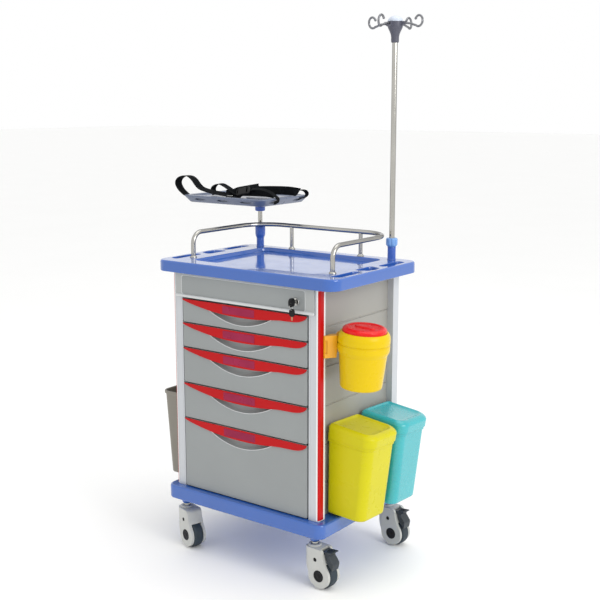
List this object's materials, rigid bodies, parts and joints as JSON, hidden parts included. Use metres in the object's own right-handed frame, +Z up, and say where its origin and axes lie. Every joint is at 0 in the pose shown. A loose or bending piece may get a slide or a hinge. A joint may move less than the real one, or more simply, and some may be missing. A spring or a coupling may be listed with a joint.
{
  "type": "hospital crash cart",
  "caption": "Rolling hospital emergency trolley with drawers, railed worktop, infusion mast, strapped shelf, sharps container, side bins and tub.",
  "frame": {"origin": "centre of the whole trolley's bounding box, on the floor", "axes": "+Z up, -Y towards the drawer fronts, +X towards the side that carries the bins"},
  "size_m": [0.9502, 0.5706, 1.6147],
  "materials": {
    "blue_plastic": "glossy moulded blue plastic",
    "silver_column": "silver-white powder coat",
    "red_plastic": "glossy red plastic",
    "grey_panel": "satin grey",
    "grey_front": "satin grey",
    "lock_metal": "polished",
    "key_black": "satin black bow",
    "rail_steel": "polished stainless",
    "hub_grey": "satin grey",
    "cap_white": "white",
    "shelf_plastic": "satin pale blue grey",
    "black_webbing": "woven webbing",
    "sharps_yellow": "glossy yellow",
    "lid_red": "glossy red",
    "bin_yellow": "satin gloss yellow",
    "bin_teal": "satin gloss teal",
    "tub_beige": "satin beige grey",
    "tray_grey": "satin light grey",
    "caster_grey": "satin light grey",
    "tyre_dark": "dark blue-grey tread",
    "pedal_dark": "dark grey"
  },
  "bodies": {
    "cart": {"base_board": "blue_plastic", "column_fl": "silver_column", "column_fr": "silver_column", "column_rl": "silver_column", "column_rr": "silver_column", "trim_left": "red_plastic", "trim_right": "red_plastic", "side_panel_left": "grey_panel", "side_panel_right": "grey_panel", "back_panel": "grey_panel", "tabletop": "blue_plastic", "top_fascia": "grey_front", "lock_cylinder": "lock_metal", "guard_rail": "rail_steel", "mast_socket": "blue_plastic", "shelf_socket": "blue_plastic", "sharps_bracket": "sharps_yellow", "sharps_bucket": "sharps_yellow", "bin_yellow": "bin_yellow", "bin_teal": "bin_teal", "side_tub": "tub_beige"},
    "drawer_1": {"drawer1_front": "grey_front", "drawer1_strip": "red_plastic", "drawer1_tray": "tray_grey"},
    "drawer_2": {"drawer2_front": "grey_front", "drawer2_strip": "red_plastic", "drawer2_tray": "tray_grey"},
    "drawer_3": {"drawer3_front": "grey_front", "drawer3_strip": "red_plastic", "drawer3_tray": "tray_grey"},
    "drawer_4": {"drawer4_front": "grey_front", "drawer4_strip": "red_plastic", "drawer4_tray": "tray_grey"},
    "drawer_5": {"drawer5_front": "grey_front", "drawer5_strip": "red_plastic", "drawer5_tray": "tray_grey"},
    "key": {"lock_key": "key_black"},
    "mast_nut_body": {"mast_nut": "blue_plastic"},
    "mast": {"mast_pole": "rail_steel", "mast_hub": "hub_grey", "mast_hooks": "rail_steel", "mast_cap": "cap_white"},
    "shelf": {"shelf_post": "rail_steel", "shelf_hub": "blue_plastic", "shelf_tray": "shelf_plastic", "strap_left": "black_webbing", "strap_right": "black_webbing"},
    "sharps_cover": {"sharps_lid": "lid_red"},
    "lid_yellow": {"bin_yellow_lid": "bin_yellow"},
    "lid_teal": {"bin_teal_lid": "bin_teal"},
    "caster_fl": {"caster_fl_housing": "caster_grey"},
    "wheel_fl": {"caster_fl_wheel": "tyre_dark"},
    "caster_fr": {"caster_fr_housing": "caster_grey"},
    "wheel_fr": {"caster_fr_wheel": "tyre_dark"},
    "pedal_fr": {"caster_fr_pedal": "pedal_dark"},
    "caster_rr": {"caster_rr_housing": "caster_grey"},
    "wheel_rr": {"caster_rr_wheel": "tyre_dark"},
    "pedal_rr": {"caster_rr_pedal": "pedal_dark"},
    "caster_rl": {"caster_rl_housing": "caster_grey"},
    "wheel_rl": {"caster_rl_wheel": "tyre_dark"}
  },
  "joints": [
    {"name": "drawer_1_slide", "type": "slide", "parent": "cart", "child": "drawer_1", "axis": [0, -1, 0], "range_m": [0, 0.33]},
    {"name": "drawer_2_slide", "type": "slide", "parent": "cart", "child": "drawer_2", "axis": [0, -1, 0], "range_m": [0, 0.33]},
    {"name": "drawer_3_slide", "type": "slide", "parent": "cart", "child": "drawer_3", "axis": [0, -1, 0], "range_m": [0, 0.33]},
    {"name": "drawer_4_slide", "type": "slide", "parent": "cart", "child": "drawer_4", "axis": [0, -1, 0], "range_m": [0, 0.33]},
    {"name": "drawer_5_slide", "type": "slide", "parent": "cart", "child": "drawer_5", "axis": [0, -1, 0], "range_m": [0, 0.33]},
    {"name": "key_turn", "type": "hinge", "parent": "cart", "child": "key", "pos_m": [0.24239, -0.25475, 0.826], "axis": [0, 1, 0], "range_deg": [0, 90]},
    {"name": "mast_nut_turn", "type": "hinge", "parent": "cart", "child": "mast_nut_body", "pos_m": [0.30139, 0.15025, 0.954], "axis": [0, 0, 1], "range_deg": [0, 270]},
    {"name": "mast_slide", "type": "slide", "parent": "cart", "child": "mast", "axis": [0, 0, 1], "range_m": [-0.45, 0]},
    {"name": "shelf_swivel", "type": "hinge", "parent": "cart", "child": "shelf", "pos_m": [-0.20461, 0.15025, 0.994], "axis": [0, 0, 1], "continuous": true},
    {"name": "sharps_cover_turn", "type": "hinge", "parent": "cart", "child": "sharps_cover", "pos_m": [0.40385, -0.15175, 0.74394], "axis": [0.0654, 0, 0.9979], "range_deg": [0, 45]},
    {"name": "lid_yellow_hinge", "type": "hinge", "parent": "cart", "child": "lid_yellow", "pos_m": [0.31239, -0.11375, 0.468], "axis": [0.0026, -0.9991, 0.0418], "range_deg": [0, 55]},
    {"name": "lid_teal_hinge", "type": "hinge", "parent": "cart", "child": "lid_teal", "pos_m": [0.31239, 0.05525, 0.468], "axis": [0.0026, -0.9991, 0.0418], "range_deg": [0, 80]},
    {"name": "caster_fl_swivel", "type": "hinge", "parent": "cart", "child": "caster_fl", "pos_m": [-0.19961, -0.23375, 0.129], "axis": [0, 0, 1], "continuous": true},
    {"name": "wheel_fl_spin", "type": "hinge", "parent": "caster_fl", "child": "wheel_fl", "pos_m": [-0.16805, -0.2434, 0.041], "axis": [0.2924, 0.9563, 0], "continuous": true},
    {"name": "caster_fr_swivel", "type": "hinge", "parent": "cart", "child": "caster_fr", "pos_m": [0.29639, -0.23375, 0.129], "axis": [0, 0, 1], "continuous": true},
    {"name": "wheel_fr_spin", "type": "hinge", "parent": "caster_fr", "child": "wheel_fr", "pos_m": [0.32931, -0.23605, 0.041], "axis": [0.0698, 0.9976, 0], "continuous": true},
    {"name": "pedal_fr_press", "type": "hinge", "parent": "caster_fr", "child": "pedal_fr", "pos_m": [0.33629, -0.23654, 0.111], "axis": [0.0698, 0.9976, 0], "range_deg": [0, 3.5], "stiffness_Nm_per_rad": 0.6, "springref_deg": -1.15},
    {"name": "caster_rr_swivel", "type": "hinge", "parent": "cart", "child": "caster_rr", "pos_m": [0.30139, 0.15025, 0.129], "axis": [0, 0, 1], "continuous": true},
    {"name": "wheel_rr_spin", "type": "hinge", "parent": "caster_rr", "child": "wheel_rr", "pos_m": [0.33426, 0.14737, 0.041], "axis": [0.0872, 0.9962, 0], "continuous": true},
    {"name": "pedal_rr_press", "type": "hinge", "parent": "caster_rr", "child": "pedal_rr", "pos_m": [0.34124, 0.14676, 0.111], "axis": [0.0872, 0.9962, 0], "range_deg": [0, 3.5], "stiffness_Nm_per_rad": 0.6, "springref_deg": -1.15},
    {"name": "caster_rl_swivel", "type": "hinge", "parent": "cart", "child": "caster_rl", "pos_m": [-0.20461, 0.15025, 0.129], "axis": [0, 0, 1], "continuous": true},
    {"name": "wheel_rl_spin", "type": "hinge", "parent": "caster_rl", "child": "wheel_rl", "pos_m": [-0.17233, 0.14339, 0.041], "axis": [0.2079, 0.9781, 0], "continuous": true}
  ]
}
